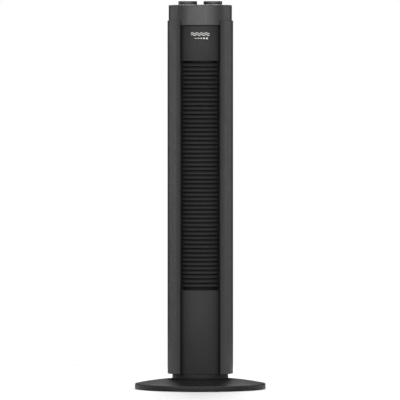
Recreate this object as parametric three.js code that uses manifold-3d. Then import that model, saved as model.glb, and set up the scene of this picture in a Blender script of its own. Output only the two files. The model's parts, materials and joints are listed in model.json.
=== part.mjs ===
// Tower fan, 780 mm tall, in millimetres: +Z up, the front (air outlet) faces -Y, and the origin is on
// the floor under the swivel axis. A round base carries a fixed neck. The tower above it swings left and
// right, driven by a small geared motor, a crank and a link. Two dials and a push button are on the top.
import * as THREE from "three";
import { mergeVertices } from "three/addons/utils/BufferGeometryUtils.js";
import Module from "manifold-3d";

const wasm = await Module();
wasm.setup();

// ---- driving dimensions ----
const HEIGHT = 780;
const GAP = 0.3; // between pieces that touch
const WALL = 2; // shells

const BASE_R = 131.5;
const RIM_Z = 1; // lower edge of the base's rim, which the feet lift off the floor
const RIM_TOP_Z = 11.3;
const NECK_R = 56.2;
const NECK_SEAT_Z = 20.6; // top of the base under the neck

const TOWER_Z = 31; // underside of the tower
const SHELL_TOP_Z = 741; // top of the tower's shells
const SKIRT_Z = 731; // lower edge of the cap's skirt
const CAP_TOP_Z = 772;

// The tower is round, with a recess down its front. Angles are from the front.
const BODY_R = 66;
const CAP_R = 63.6; // the cap's skirt drops inside the shells
const COLUMN_IN_X = 41; // half the width of the recess
const SEAM = THREE.MathUtils.degToRad(62.5); // between a column and the rear housing
const PANEL = { r: 57, wall: 2.5 };
const COVER_SEAM_Z = 684; // between the rear housing and the rear cover above it

const GRILLE = { z0: 199.8, z1: 659.2, halfW: 38.6, slats: 53, slatH: 4.8, setBack: 1.8, depth: 3.4 };
const INTAKE = { z0: 150, z1: 656, rows: 4, band: 10, slot: 4.4 };
const GRIP = { halfW: 36, z0: 692, z1: 718, y0: 38 };
const DECK_Z = { floor: TOWER_Z, lower: 186, upper: 664 };
const DECK_T = 3;
const DECK_R = BODY_R - WALL - 0.4;

const WHEEL = { y: 8, r: 38, rIn: 30.5, z0: 195, z1: 661, blades: 18, segments: 3 };
const MOTOR = { y: WHEEL.y, r: 38, z0: 88, z1: 150, stackZ0: 106, stackZ1: 132, shaftR: 4 };
const KNOB = { x: 25.2, y: -8, r: 18.8, bossR: 5, z0: CAP_TOP_Z + 0.4, shaftR: 3 };
const BUTTON = { y: 27, r: 6.5, top: CAP_TOP_Z + 2.2 };
const GLAND_Z = 62;
const SCREW = { x: 33, seatY: 50, z: [50, 676] };

// The swing drive: a crank on the tower's geared motor, and a link to a post on the neck.
const CRANK = { x: -2, y: 32, throw: 12 };
const POST = { x: CRANK.x - CRANK.throw, y: 0 };
const PIVOT_R = 9;
const PIVOT_BORE_R = 6.5;
const PIN_R = 2.5;

// ---- solids ----
const TURN = 2 * Math.PI;

// A closed three.js geometry as a manifold-3d solid with its faces pointing out.
function solid(geometry) {
  const bare = geometry.index ? geometry.toNonIndexed() : geometry.clone();
  bare.deleteAttribute("normal");
  bare.deleteAttribute("uv");
  const merged = mergeVertices(bare, 1e-3);
  const corners = merged.index.array;
  const kept = [];
  for (let i = 0; i < corners.length; i += 3) {
    const [a, b, c] = corners.subarray(i, i + 3);
    if (a !== b && b !== c && a !== c) kept.push(a, b, c);
  }
  const vertProperties = merged.attributes.position.array;
  const make = (triangles) =>
    new wasm.Manifold(
      new wasm.Mesh({ numProp: 3, vertProperties, triVerts: new Uint32Array(triangles) }),
    );
  const made = make(kept);
  return made.volume() > 0 ? made : make(kept.reverse());
}

// A plan outline, as a list of THREE.Vector2, raised from z0 to z1.
function raise(outline, z0, z1) {
  const shape = new THREE.Shape(outline);
  const geometry = new THREE.ExtrudeGeometry(shape, { depth: z1 - z0, bevelEnabled: false });
  return solid(geometry.translate(0, 0, z0));
}

function cylinder(r, z0, z1, x = 0, y = 0, sides = 24) {
  const geometry = new THREE.CylinderGeometry(r, r, z1 - z0, sides);
  return solid(geometry.rotateX(Math.PI / 2).translate(x, y, (z0 + z1) / 2));
}

function box(x0, x1, y0, y1, z0, z1) {
  const geometry = new THREE.BoxGeometry(x1 - x0, y1 - y0, z1 - z0);
  return solid(geometry.translate((x0 + x1) / 2, (y0 + y1) / 2, (z0 + z1) / 2));
}

// A closed profile of [radius, height] pairs turned about a vertical axis.
function turnedGeometry(profile, sides) {
  const points = [...profile, profile[0]].map(([r, z]) => new THREE.Vector2(r, z));
  return new THREE.LatheGeometry(points, sides).rotateX(Math.PI / 2);
}
const turned = (profile, x = 0, y = 0, sides = 32) =>
  solid(turnedGeometry(profile, sides).translate(x, y, 0));

const ring = (rIn, rOut, z0, z1, x = 0, y = 0, sides = 24) =>
  turned([[rIn, z0], [rOut, z0], [rOut, z1], [rIn, z1]], x, y, sides);

const join = (...solids) => solids.reduce((a, b) => a.add(b));
const cut = (from, ...solids) => solids.reduce((a, b) => a.subtract(b), from);

// ---- plan outlines ----
const spread = (from, to, steps) =>
  Array.from({ length: steps + 1 }, (_, i) => from + ((to - from) * i) / steps);

// A point at an angle from the front, turning towards +X, about a centre on the Y axis.
const around = (angle, r, y = 0) =>
  new THREE.Vector2(r * Math.sin(angle), y - r * Math.cos(angle));
const arc = (from, to, steps, r, y = 0) => spread(from, to, steps).map((a) => around(a, r, y));

// The outline of a curved wall between two angles.
const strip = (a0, a1, steps, rOut, rIn) => [
  ...arc(a0, a1, steps, rOut),
  ...arc(a0, a1, steps, rIn).reverse(),
];

// A plate that fills the tower behind the front panel and between the columns' side walls.
function deck(z0, thickness) {
  const behindPanel = arc(-0.8, 0.8, 8, PANEL.r - PANEL.wall - 1);
  const notch = new THREE.Vector2(COLUMN_IN_X + WALL + 0.6, behindPanel.at(-1).y);
  const start = Math.asin(notch.x / DECK_R);
  const outline = [
    ...behindPanel,
    notch,
    ...arc(start, TURN - start, 32, DECK_R),
    new THREE.Vector2(-notch.x, notch.y),
  ];
  return raise(outline, z0, z0 + thickness);
}

// ---- the scene graph ----
const fan = new THREE.Group();
const groups = {};
for (const name of ["base", "tower", "wheel", "crank", "link", "speed", "timer", "button"]) {
  groups[name] = new THREE.Group();
  fan.add(groups[name]);
}

const COLOURS = {
  shell: [0x4a4a4b, 0.5, 0],
  panel: [0x2c2c2d, 0.45, 0],
  base: [0x343435, 0.5, 0],
  knob: [0x404041, 0.4, 0],
  inner: [0x26282a, 0.7, 0],
  wheel: [0x1b1c1e, 0.6, 0],
  steel: [0xa9abad, 0.35, 1],
  laminated: [0x6f7275, 0.5, 1],
  rubber: [0x151515, 0.9, 0],
  nylon: [0xd9d6cc, 0.5, 0],
  switchgear: [0xe4e2da, 0.55, 0],
  wire: [0x202020, 0.6, 0],
};

function place(group, name, look, shape) {
  const found = shape.getMesh();
  const step = found.numProp;
  const positions = new Float32Array(found.numVert * 3);
  for (let i = 0; i < found.numVert; i++) {
    positions.set(found.vertProperties.subarray(i * step, i * step + 3), i * 3);
  }
  const geometry = new THREE.BufferGeometry();
  geometry.setAttribute("position", new THREE.BufferAttribute(positions, 3));
  geometry.setIndex(new THREE.BufferAttribute(new Uint32Array(found.triVerts), 1));
  geometry.computeVertexNormals();
  const [color, roughness, metalness] = COLOURS[look];
  const material = new THREE.MeshStandardMaterial({ color, roughness, metalness });
  const mesh = new THREE.Mesh(geometry, material);
  mesh.name = name;
  groups[group].add(mesh);
}

// ---- base ----
const FEET = 6;
const FOOT = { circleR: 112, r: 7, height: 3 };
const RIBS = 8;
const BASE_WALL = 3;
const CROWN_R = 57; // the crown falls away outside the neck
const CROWN_END_R = 129.3;
const CROWN_POWER = 1.55;
const STUB = { rIn: PIVOT_R + 0.35, rOut: 14.5, z0: 5.5 };

const crownFall = (r) => ((r - CROWN_R) / (CROWN_END_R - CROWN_R)) ** CROWN_POWER;
const crownZ = (r) => NECK_SEAT_Z - (NECK_SEAT_Z - RIM_TOP_Z) * crownFall(r);
const footAt = (i) => around((TURN * (i + 0.5)) / FEET, FOOT.circleR);

function baseShell() {
  const boreR = STUB.rOut + 0.4;
  const radii = spread(CROWN_R, CROWN_END_R, 4);
  const outer = radii.map((r) => [r, crownZ(r)]);
  const inner = radii.slice(0, -1).reverse().map((r) => [r, crownZ(r) - BASE_WALL]);
  const shell = turned([
    [boreR, NECK_SEAT_Z],
    ...outer,
    [BASE_R, 9.8],
    [BASE_R, 2.2],
    [BASE_R - 1.2, RIM_Z],
    [BASE_R - BASE_WALL, RIM_Z],
    [BASE_R - BASE_WALL, 8.2],
    ...inner,
    [boreR, NECK_SEAT_Z - BASE_WALL],
  ], 0, 0, 40);
  // Each rib hangs under the crown, from outside the nut to the rim.
  const crownUnder = NECK_SEAT_Z - BASE_WALL + 0.5;
  const ribProfile = [[34, crownUnder], [CROWN_R, crownUnder], [126, 9], [129, 6], [34, 12]];
  const ribSection = new THREE.Shape(ribProfile.map(([r, z]) => new THREE.Vector2(r, z)));
  const ribThickness = 2;
  let made = shell;
  for (let i = 0; i < RIBS; i++) {
    const rib = new THREE.ExtrudeGeometry(ribSection, { depth: ribThickness, bevelEnabled: false });
    rib.translate(0, 0, -ribThickness / 2).rotateX(Math.PI / 2);
    made = made.add(solid(rib.rotateZ((TURN * (i + 0.5)) / RIBS)));
  }
  for (let i = 0; i < FEET; i++) {
    const at = footAt(i);
    const bossR = FOOT.r + 1.5;
    const bossTop = crownZ(FOOT.circleR + bossR) - 1;
    made = made.add(cylinder(bossR, FOOT.height + GAP, bossTop, at.x, at.y, 16));
  }
  return made;
}

place("base", "base_shell", "base", baseShell());
for (let i = 0; i < FEET; i++) {
  const at = footAt(i);
  place("base", `rubber_foot_${i + 1}`, "rubber", cylinder(FOOT.r, 0, FOOT.height, at.x, at.y, 16));
}

// The neck stands on the crown, its stub runs down through the base, and the nut clamps it from below.
const NECK_FLOOR_Z = 23.2;
const NECK_TOP_Z = TOWER_Z - GAP;
const NECK_LIP = 1; // hides the glide ring from outside
const NECK_WALL = 3.2;
const GLIDE_SEAT_Z = 28.6;
place("base", "neck_collar", "base", turned([
  [STUB.rIn, STUB.z0],
  [STUB.rOut, STUB.z0],
  [STUB.rOut, NECK_SEAT_Z + GAP],
  [NECK_R, NECK_SEAT_Z + GAP],
  [NECK_R, NECK_TOP_Z],
  [NECK_R - NECK_LIP, NECK_TOP_Z],
  [NECK_R - NECK_LIP, GLIDE_SEAT_Z],
  [NECK_R - NECK_WALL, GLIDE_SEAT_Z],
  [NECK_R - NECK_WALL, NECK_FLOOR_Z],
  [STUB.rIn, NECK_FLOOR_Z],
]));
const GLIDE = { rIn: NECK_R - NECK_WALL, rOut: NECK_R - NECK_LIP - GAP };
place("base", "glide_ring", "nylon", ring(GLIDE.rIn, GLIDE.rOut, GLIDE_SEAT_Z + GAP, NECK_TOP_Z, 0, 0, 32));

const NUT = { rOut: 23, z0: 6.5, wings: 6, wing: [9, 4, 7] };
function lockingNut() {
  let made = ring(STUB.rOut + 0.4, NUT.rOut, NUT.z0, NECK_SEAT_Z - BASE_WALL - GAP);
  for (let i = 0; i < NUT.wings; i++) {
    const wing = new THREE.BoxGeometry(...NUT.wing).translate(NUT.rOut + 2, 0, NUT.z0 + 5);
    made = made.add(solid(wing.rotateZ((TURN * i) / NUT.wings)));
  }
  return made;
}
place("base", "locking_nut", "inner", lockingNut());

// The link lies between the neck's floor and the crank.
const LINK = { z0: 24.2, z1: 26.4, halfW: 2, eyeR: PIN_R + 0.9, postR: 2.1 };
const POST_HEAD = { r: 3.4, z0: LINK.z1 + GAP, z1: 27.6 };
place("base", "link_post", "steel", join(
  cylinder(LINK.postR, NECK_FLOOR_Z + GAP, POST_HEAD.z0 + 0.2, POST.x, POST.y, 16),
  cylinder(POST_HEAD.r, POST_HEAD.z0, POST_HEAD.z1, POST.x, POST.y, 16),
));
place("link", "swing_link", "steel", cut(
  join(
    box(POST.x - LINK.halfW, POST.x + LINK.halfW, POST.y, CRANK.y, LINK.z0, LINK.z1),
    cylinder(3.9, LINK.z0, LINK.z1, POST.x, POST.y),
    cylinder(5.6, LINK.z0, LINK.z1, POST.x, CRANK.y),
  ),
  cylinder(LINK.postR + GAP, 20, 30, POST.x, POST.y, 16),
  cylinder(LINK.eyeR, 20, 30, POST.x, CRANK.y),
));
const CRANK_SHAFT_R = 3;
const DISC = { r: CRANK.throw + 4, z0: 27.4, z1: 30.2 };
const PIN_END_Z = LINK.z0 - 0.5;
place("crank", "crank_disc", "nylon", join(
  cylinder(DISC.r, DISC.z0, DISC.z1, CRANK.x, CRANK.y, 32),
  cylinder(CRANK_SHAFT_R, DISC.z1 - 0.2, 39, CRANK.x, CRANK.y, 16),
  cylinder(PIN_R, PIN_END_Z, DISC.z0 + 0.1, POST.x, CRANK.y, 16),
));

// ---- tower: floor, swivel and swing motor ----
const CLIP_Z0 = 3.2;
const FLOOR_TOP_Z = DECK_Z.floor + DECK_T;
const BOSS = { halfW: 4, y0: 38, y1: 47.7 };
const SCREW_R = 2;
const screwBore = (r, y0, y1, x, z) =>
  solid(new THREE.CylinderGeometry(r, r, y1 - y0, 16).translate(x, (y0 + y1) / 2, z));

// The pair of bosses that the housing screws bite into.
function withBosses(body, z0, z1, screwZ) {
  let made = body;
  for (const x of [-SCREW.x, SCREW.x]) {
    made = made.add(box(x - BOSS.halfW, x + BOSS.halfW, BOSS.y0, BOSS.y1, z0, z1));
    made = made.subtract(screwBore(SCREW_R + GAP, BOSS.y0 + 1, BOSS.y1 + 1, x, screwZ));
  }
  return made;
}

const pivotTube = turned([
  [PIVOT_BORE_R, 2.2], [PIVOT_R + 1.2, 2.2], [PIVOT_R + 1.2, CLIP_Z0 - GAP], [PIVOT_R, CLIP_Z0 - GAP],
  [PIVOT_R, TOWER_Z + 1], [PIVOT_BORE_R, TOWER_Z + 1],
], 0, 0, 32);
const floorPlate = withBosses(deck(DECK_Z.floor, DECK_T), FLOOR_TOP_Z - 0.1, SCREW.z[0] + 7, SCREW.z[0]);
place("tower", "tower_floor", "inner", cut(
  join(floorPlate, pivotTube),
  cylinder(CRANK_SHAFT_R + 1.5, TOWER_Z - 1, FLOOR_TOP_Z + 1, CRANK.x, CRANK.y, 16),
));
place("tower", "swivel_clip", "steel", ring(PIVOT_R + GAP, 13.5, CLIP_Z0, CLIP_Z0 + 2));
const SWING_MOTOR = { r: 24.5, h: 17 };
place("tower", "oscillation_motor", "steel", cut(
  cylinder(SWING_MOTOR.r, FLOOR_TOP_Z + GAP, FLOOR_TOP_Z + SWING_MOTOR.h, CRANK.x, CRANK.y, 32),
  cylinder(CRANK_SHAFT_R + GAP + 0.1, FLOOR_TOP_Z, 40, CRANK.x, CRANK.y, 16),
));
place("tower", "run_capacitor", "inner", box(28, 50, -26, 8, FLOOR_TOP_Z + GAP, FLOOR_TOP_Z + 26));

// ---- tower: shells ----
// A column is a strip of the round shell with the side wall of the recess behind its inner edge.
const SEAM_GAP = 0.003; // half the seam's width, as an angle
function column() {
  const innerEdge = Math.asin(COLUMN_IN_X / BODY_R);
  const skin = raise(strip(innerEdge, SEAM - SEAM_GAP, 5, BODY_R, BODY_R - WALL), TOWER_Z, SHELL_TOP_Z);
  const edgeY = -Math.sqrt(BODY_R ** 2 - COLUMN_IN_X ** 2);
  const wallBackY = -38.6;
  const sideWall = box(COLUMN_IN_X, COLUMN_IN_X + WALL, edgeY + 0.9, wallBackY, TOWER_Z, SKIRT_Z - 0.5);
  return join(skin, sideWall);
}
place("tower", "right_column", "shell", column());
place("tower", "left_column", "shell", column().mirror([1, 0, 0]));

// The front panel is one moulding: a plate above and one below, joined by two rails with slats between.
function frontGrille() {
  const z0 = TOWER_Z + 0.5;
  const z1 = SKIRT_Z - 0.5;
  const half = Math.asin((COLUMN_IN_X - 0.7) / PANEL.r);
  const edge = Math.asin(GRILLE.halfW / PANEL.r);
  const skin = raise(strip(-half, half, 10, PANEL.r, PANEL.r - PANEL.wall), z0, z1);
  const window = box(-COLUMN_IN_X, COLUMN_IN_X, -60, -30, GRILLE.z0, GRILLE.z1);
  const slatOut = PANEL.r - GRILLE.setBack;
  const slatIn = slatOut - GRILLE.depth;
  const pitch = (GRILLE.z1 - GRILLE.z0) / GRILLE.slats;
  let made = cut(skin, window);
  for (const side of [-1, 1]) {
    const rail = strip(side * edge, side * (edge + 0.04), 1, slatOut, slatIn - 0.5);
    made = made.add(raise(rail, GRILLE.z0 - 2, GRILLE.z1 + 2));
  }
  const slat = strip(-edge - 0.02, edge + 0.02, 4, slatOut, slatIn);
  for (let i = 1; i < GRILLE.slats; i++) {
    const z = GRILLE.z0 + i * pitch - GRILLE.slatH / 2;
    made = made.add(raise(slat, z, z + GRILLE.slatH));
  }
  return made;
}
place("tower", "front_grille", "panel", frontGrille());

// The rear shell, from one column round to the other. Its rear half has equal facets.
const REAR_STEPS = 24;
const REAR_START = Math.PI / 2;
const rearWall = (z0, z1) => {
  const side = arc(SEAM + SEAM_GAP, REAR_START, 3, BODY_R).slice(0, -1);
  const back = arc(REAR_START, TURN - REAR_START, REAR_STEPS, BODY_R);
  const otherSide = side.map((p) => new THREE.Vector2(-p.x, p.y)).reverse();
  const outer = [...side, ...back, ...otherSide];
  const inner = outer.map((p) => p.clone().multiplyScalar((BODY_R - WALL) / BODY_R)).reverse();
  return raise([...outer, ...inner], z0, z1);
};

// The rear housing has four screw pockets, and rows of intake slots in the facets of its rear half.
function rearHousing() {
  let made = rearWall(TOWER_Z, COVER_SEAM_Z - GAP);
  for (const x of [-SCREW.x, SCREW.x]) {
    for (const z of SCREW.z) {
      const pocket = screwBore(6, SCREW.seatY - 2, BODY_R, x, z);
      const bound = cylinder(BODY_R - WALL / 2, z - 8, z + 8, 0, 0, 48);
      made = made.add(pocket.intersect(bound));
      made = cut(
        made,
        screwBore(4.2, SCREW.seatY, BODY_R + 5, x, z),
        screwBore(SCREW_R + GAP, 40, BODY_R, x, z),
      );
    }
  }
  const rowH = (INTAKE.z1 - INTAKE.z0 - INTAKE.band * (INTAKE.rows - 1)) / INTAKE.rows;
  for (let i = 1; i < REAR_STEPS - 1; i++) {
    const angle = REAR_START + (Math.PI * (i + 0.5)) / REAR_STEPS;
    for (let row = 0; row < INTAKE.rows; row++) {
      const z = INTAKE.z0 + row * (rowH + INTAKE.band) + rowH / 2;
      const slot = new THREE.BoxGeometry(INTAKE.slot, 8, rowH).translate(0, 1 - BODY_R, z);
      made = made.subtract(solid(slot.rotateZ(angle)));
    }
  }
  return made.subtract(screwBore(6.4, 50, 75, 0, GLAND_Z));
}
place("tower", "rear_housing", "shell", rearHousing());
place("tower", "rear_cover", "shell", cut(
  rearWall(COVER_SEAM_Z, SHELL_TOP_Z),
  box(-GRIP.halfW, GRIP.halfW, 40, 70, GRIP.z0, GRIP.z1),
));

function gripPocket() {
  const t = 2.5;
  const filled = cylinder(DECK_R, GRIP.z0 - t, GRIP.z1 + t, 0, 0, 2 * REAR_STEPS);
  const outside = box(-GRIP.halfW - t, GRIP.halfW + t, GRIP.y0 - t, 70, GRIP.z0 - t - 1, GRIP.z1 + t + 1);
  const hollow = box(-GRIP.halfW, GRIP.halfW, GRIP.y0, 70, GRIP.z0, GRIP.z1);
  return cut(filled.intersect(outside), hollow);
}
place("tower", "grip_pocket", "shell", gripPocket());

SCREW.z.forEach((z, row) => {
  [-SCREW.x, SCREW.x].forEach((x, i) => {
    const head = screwBore(3.7, SCREW.seatY + GAP, SCREW.seatY + 2.6, x, z);
    const shank = screwBore(SCREW_R, 40, SCREW.seatY + 1, x, z);
    place("tower", `housing_screw_${2 * row + i + 1}`, "steel", head.add(shank));
  });
});

// The gland is turned about the vertical and laid along Y.
const glandProfile = [[3.3, 0], [6, 0], [6, 8], [8, 8], [8, 10.5], [5, 13.5], [3.3, 13.5]];
const gland = turnedGeometry(glandProfile, 24).rotateX(-Math.PI / 2);
place("tower", "cord_gland", "rubber", solid(gland.translate(0, BODY_R - 8 + GAP, GLAND_Z)));

// The cap is hollow and open below. Its skirt drops inside the shells and over the recess.
function topCap() {
  const wall = 2.4;
  const edge = 1.5;
  const profile = [
    [0, CAP_TOP_Z - 2.5], [CAP_R - wall, CAP_TOP_Z - 2.5], [CAP_R - wall, SKIRT_Z], [CAP_R, SKIRT_Z],
    [CAP_R, CAP_TOP_Z - edge], [CAP_R - edge, CAP_TOP_Z], [0, CAP_TOP_Z],
  ];
  const bore = (r, x, y) => cylinder(r, CAP_TOP_Z - 5, CAP_TOP_Z + 1, x, y, 20);
  const holes = [-1, 1].map((side) => bore(KNOB.bossR + 0.6, side * KNOB.x, KNOB.y));
  return cut(turned(profile, 0, 0, 48), ...holes, bore(BUTTON.r + 0.5, 0, BUTTON.y));
}
place("tower", "top_cap", "shell", topCap());

// ---- tower: air duct ----
const HARNESS = { x: -57.5, y: 12, r: 3 };
const harnessNotch = cylinder(HARNESS.r + 0.6, 180, 680, HARNESS.x, HARNESS.y, 12);
const upperDeck = deck(DECK_Z.upper, DECK_T);
const HOLDER = { rIn: 8, rOut: 12.6 };
place("tower", "lower_baffle", "inner", cut(
  deck(DECK_Z.lower, DECK_T),
  harnessNotch,
  cylinder(16, 180, 200, 0, WHEEL.y),
));
place("tower", "upper_baffle", "inner", cut(
  withBosses(upperDeck, DECK_Z.upper + DECK_T - 0.1, SCREW.z[1] + 7, SCREW.z[1]),
  harnessNotch,
  cylinder(HOLDER.rOut + GAP, 650, 680, 0, WHEEL.y, 32),
));

// A wall of the duct, curling about the wheel from one angle and radius to another.
function ductWall(a0, r0, a1, r1, steps) {
  const thickness = 1.5;
  const angles = spread(0, 1, steps);
  const at = (t, extra) => around(a0 + (a1 - a0) * t, r0 + (r1 - r0) * t + extra, WHEEL.y);
  const outline = [...angles.map((t) => at(t, 0)), ...angles.reverse().map((t) => at(t, thickness))];
  return raise(outline, DECK_Z.lower + DECK_T + GAP, DECK_Z.upper - GAP);
}
const deg = THREE.MathUtils.degToRad;
place("tower", "scroll_wall", "inner", ductWall(deg(-37), 54, deg(-192), 41, 16));
place("tower", "cutoff_wall", "inner", ductWall(deg(37), 54, deg(78), 40.5, 5));

place("tower", "bearing_holder", "rubber", ring(HOLDER.rIn, HOLDER.rOut, 662, 669, 0, WHEEL.y));
place("tower", "top_bush", "steel", ring(3.4, HOLDER.rIn - GAP, 662.5, 668.5, 0, WHEEL.y, 24));

// ---- tower: fan motor ----
const LUG_R = 41;
const BELL_T = 2.2;
const BUSH_R = 8;
const lugAt = (i, offset = 0.5) => {
  const at = around((TURN * (i + offset)) / 4, LUG_R);
  return [at.x, at.y + MOTOR.y];
};
// A bell is a cup over the stator, with four lugs for the through bolts and a bush in its floor.
function bell(z0, z1, openUp) {
  const floorZ = openUp ? [z0, z0 + BELL_T] : [z1 - BELL_T, z1];
  let made = join(
    ring(BUSH_R + GAP, MOTOR.r, floorZ[0], floorZ[1], 0, MOTOR.y),
    ring(MOTOR.r - BELL_T, MOTOR.r, z0, z1, 0, MOTOR.y),
  );
  for (let i = 0; i < 4; i++) {
    const [x, y] = lugAt(i);
    made = made.add(cut(
      cylinder(4.5, floorZ[0], floorZ[1], x, y, 16),
      cylinder(MOTOR.r - 1, z0, z1, 0, MOTOR.y),
    ));
  }
  const bores = [0, 1, 2, 3].map((i) => cylinder(2.2, z0 - 1, z1 + 1, ...lugAt(i), 12));
  return cut(made, ...bores);
}
place("tower", "motor_lower_bell", "steel", bell(MOTOR.z0, MOTOR.stackZ0 - GAP, true));
place("tower", "motor_upper_bell", "steel", bell(MOTOR.stackZ1 + GAP, MOTOR.z1, false));
place("tower", "motor_stator", "laminated",
  ring(24.8, MOTOR.r - 1.5, MOTOR.stackZ0, MOTOR.stackZ1, 0, MOTOR.y));
for (const [name, z0] of [["motor_lower_bush", MOTOR.z0], ["motor_upper_bush", MOTOR.z1 - 9]]) {
  place("tower", name, "nylon", ring(MOTOR.shaftR + 0.4, BUSH_R, z0, z0 + 9, 0, MOTOR.y, 24));
}
const MOUNT_Z = MOTOR.z1 + 2;
const MOUNT_T = 2.5;
let motorMount = ring(10, LUG_R + 5, MOUNT_Z, MOUNT_Z + MOUNT_T, 0, MOTOR.y);
for (let i = 0; i < 4; i++) {
  const [x, y] = lugAt(i, 0);
  motorMount = motorMount.add(cylinder(4, MOUNT_Z + 1, DECK_Z.lower - GAP, x, y, 16));
  motorMount = motorMount.subtract(cylinder(2.2, MOUNT_Z - 1, MOUNT_Z + 5, ...lugAt(i), 12));
}
place("tower", "motor_mount", "steel", motorMount);
for (let i = 0; i < 4; i++) {
  place("tower", `motor_bolt_${i + 1}`, "steel", join(
    cylinder(1.8, MOTOR.z0 - 1, MOUNT_Z + 6, ...lugAt(i), 12),
    cylinder(3.4, MOTOR.z0 - 2.6, MOTOR.z0 - GAP, ...lugAt(i), 12),
  ));
}

// ---- wheel and its shaft ----
function impeller() {
  const discT = 3;
  const hubBore = 12.4;
  const axleBore = 3.35;
  const { y, r, rIn, z0, z1, blades, segments } = WHEEL;
  let made = join(
    ring(hubBore, r, z0, z0 + discT, 0, y, blades),
    ring(axleBore, r, z1 - discT, z1, 0, y, blades),
  );
  for (let i = 1; i < segments; i++) {
    const z = z0 + ((z1 - z0) * i) / segments;
    made = made.add(ring(rIn, r, z - discT / 2, z + discT / 2, 0, y, blades));
  }
  for (let i = 0; i < blades; i++) {
    const blade = new THREE.BoxGeometry(6.6, 1.1, z1 - z0 - 1).rotateZ(deg(32));
    blade.translate((r + rIn) / 2 - 0.2, 0, (z0 + z1) / 2).rotateZ((TURN * (i + 0.5)) / blades);
    made = made.add(solid(blade.translate(0, y, 0)));
  }
  return made;
}
place("wheel", "impeller", "wheel", impeller());
place("wheel", "impeller_hub", "wheel", ring(MOTOR.shaftR + 0.4, 12, 192, 208, 0, WHEEL.y, 24));
place("wheel", "motor_shaft", "steel", cylinder(MOTOR.shaftR, MOTOR.z0 - 2, 212, 0, WHEEL.y));
place("wheel", "rotor_core", "laminated", ring(MOTOR.shaftR + 0.4, 24, 107, 131, 0, MOTOR.y));
place("wheel", "top_axle", "steel", cylinder(3, 646, 668, 0, WHEEL.y));

// ---- controls ----
const BRACKET_Z = 744;
const BRACKET_T = 2.5;
const SWITCH_Z = BRACKET_Z + BRACKET_T + GAP;
let bracket = box(-46, 46, -32, 37, BRACKET_Z, BRACKET_Z + BRACKET_T);
for (const x of [-41, 41]) {
  for (const y of [-28, 33]) {
    bracket = bracket.add(cylinder(3.5, BRACKET_Z + 1, CAP_TOP_Z - 2.5 - GAP, x, y, 12));
  }
}
place("tower", "control_bracket", "inner", cut(
  bracket,
  cylinder(HARNESS.r + 1, BRACKET_Z - 1, BRACKET_Z + 4, -40, 6, 12),
));

// A dial is a knob with a boss through the cap, on the shaft of its switch or timer.
function dial(group, x, body, bodyHalf, bodyH) {
  const { y, r, bossR, z0 } = KNOB;
  const knob = turned([
    [0, 764], [bossR, 764], [bossR, z0], [r, z0], [r, HEIGHT - 1.2], [r - 1.2, HEIGHT], [0, HEIGHT],
  ], x, y, 32);
  const bore = cylinder(KNOB.shaftR + 0.35, 760, 777, x, y, 20);
  place(group, `${group}_knob`, "knob", cut(knob, bore));
  place(group, `${group}_shaft`, "steel", cylinder(KNOB.shaftR, 752, 776.5, x, y, 20));
  const block = box(x - bodyHalf, x + bodyHalf, y - bodyHalf, y + bodyHalf, SWITCH_Z, SWITCH_Z + bodyH);
  place("tower", body, "switchgear", cut(block, cylinder(KNOB.shaftR + 0.4, 751.5, 775, x, y, 20)));
}
dial("speed", KNOB.x, "speed_switch", 15, 14);
dial("timer", -KNOB.x, "timer_unit", 15, 16);

const SWING_SWITCH_H = 9;
place("tower", "oscillation_switch", "switchgear",
  box(-9, 9, BUTTON.y - 8, BUTTON.y + 8, SWITCH_Z, SWITCH_Z + SWING_SWITCH_H));
place("button", "oscillation_button", "knob", turned([
  [0, 759], [3, 759], [3, 765], [8.5, 765], [8.5, 766.8], [BUTTON.r, 766.8],
  [BUTTON.r, BUTTON.top - 0.8], [BUTTON.r - 0.8, BUTTON.top], [0, BUTTON.top],
], 0, BUTTON.y, 28));

// The harness runs up the left side from the floor to the switches.
function harness() {
  const { x, y, r } = HARNESS;
  const stations = [
    [x + 15, y + 2, 42], [x + 4, y, 54], [x, y, 80], [x, y, 160], [x, y, 240], [x, y, 425],
    [x, y, 610], [x, y, 670], [x, y, 710], [x + 4, y - 1, 726], [-43, 8, 738],
  ];
  const path = new THREE.CatmullRomCurve3(stations.map((s) => new THREE.Vector3(...s)));
  const round = new THREE.Shape().absarc(0, 0, r, 0, TURN);
  const options = { steps: 22, bevelEnabled: false, extrudePath: path, curveSegments: 4 };
  return solid(new THREE.ExtrudeGeometry(round, options));
}
place("tower", "wire_harness", "wire", harness());

export default fan;
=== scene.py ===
import json
import math

import bmesh
import bpy
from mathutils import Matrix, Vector


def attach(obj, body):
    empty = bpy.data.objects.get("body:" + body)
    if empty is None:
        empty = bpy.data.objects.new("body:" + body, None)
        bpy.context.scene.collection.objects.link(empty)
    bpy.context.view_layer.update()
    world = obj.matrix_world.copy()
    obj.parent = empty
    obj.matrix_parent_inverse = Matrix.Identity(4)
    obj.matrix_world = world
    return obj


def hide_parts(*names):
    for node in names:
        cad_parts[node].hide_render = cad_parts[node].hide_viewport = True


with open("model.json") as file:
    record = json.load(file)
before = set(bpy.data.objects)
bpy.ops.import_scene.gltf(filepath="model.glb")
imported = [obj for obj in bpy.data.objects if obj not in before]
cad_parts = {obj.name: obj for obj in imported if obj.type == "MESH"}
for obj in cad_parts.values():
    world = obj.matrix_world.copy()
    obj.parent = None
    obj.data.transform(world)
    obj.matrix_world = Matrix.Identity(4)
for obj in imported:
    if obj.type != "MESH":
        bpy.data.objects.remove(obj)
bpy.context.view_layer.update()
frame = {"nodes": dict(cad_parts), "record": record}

# ---- dimensions in millimetres. They are the CAD's, but for the seam, which is a little wider here ----
MM = 0.001
HEIGHT = 780
GAP = 0.3
WALL = 2
BASE_R = 131.5
RIM_Z = 1
RIM_TOP_Z = 11.3
CROWN_R = 57
CROWN_END_R = 129.3
CROWN_POWER = 1.55
BASE_WALL = 3
FEET = 6
FOOT_CIRCLE_R = 112
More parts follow.
